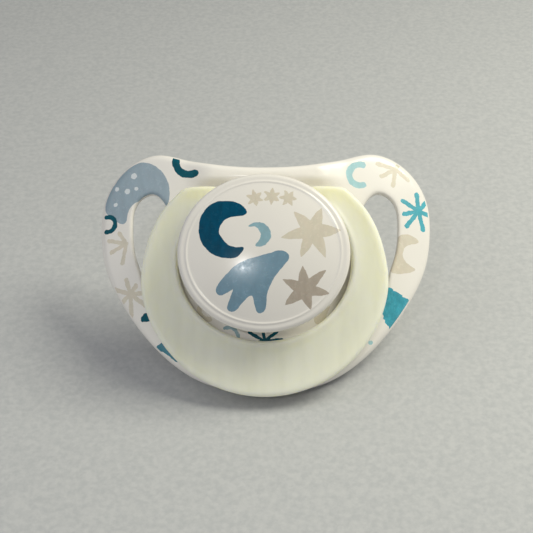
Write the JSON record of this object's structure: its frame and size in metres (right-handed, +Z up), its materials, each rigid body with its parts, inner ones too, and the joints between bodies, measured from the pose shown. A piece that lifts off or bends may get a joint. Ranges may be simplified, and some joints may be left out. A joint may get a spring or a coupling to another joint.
{
  "type": "pacifier",
  "caption": "Orthodontic baby pacifier lying face up: curved heart-shaped shield with side vents, hollow silicone teat, round button and a hinged D-shaped ring.",
  "frame": {"origin": "on the table, under the middle of the pacifier's box, with the pacifier lying at rest on the teat's tip and the shield's lower edge", "axes": "+X across the shield, +Z up off the table; the printed face leans back and looks up and towards -Y, and the teat's tip is towards +Y"},
  "size_m": [0.06, 0.0464, 0.0342],
  "materials": {
    "shield": "glossy moulded white polypropylene with printed night-sky motifs",
    "button": "satin-gloss moulded white polypropylene, printed on the crown",
    "ring": "slightly translucent cream-green moulded plastic, satin",
    "silicone": "clear soft silicone, smooth"
  },
  "bodies": {
    "body": {"shield": "shield", "teat": "silicone", "plug": "button", "button_cap": "button"},
    "ring": {"ring": "ring"}
  },
  "joints": [
    {"name": "ring_hinge", "type": "hinge", "parent": "body", "child": "ring", "pos_m": [0, 0.00059, 0.02874], "axis": [-1, 0, 0], "range_deg": [0, 150]}
  ]
}
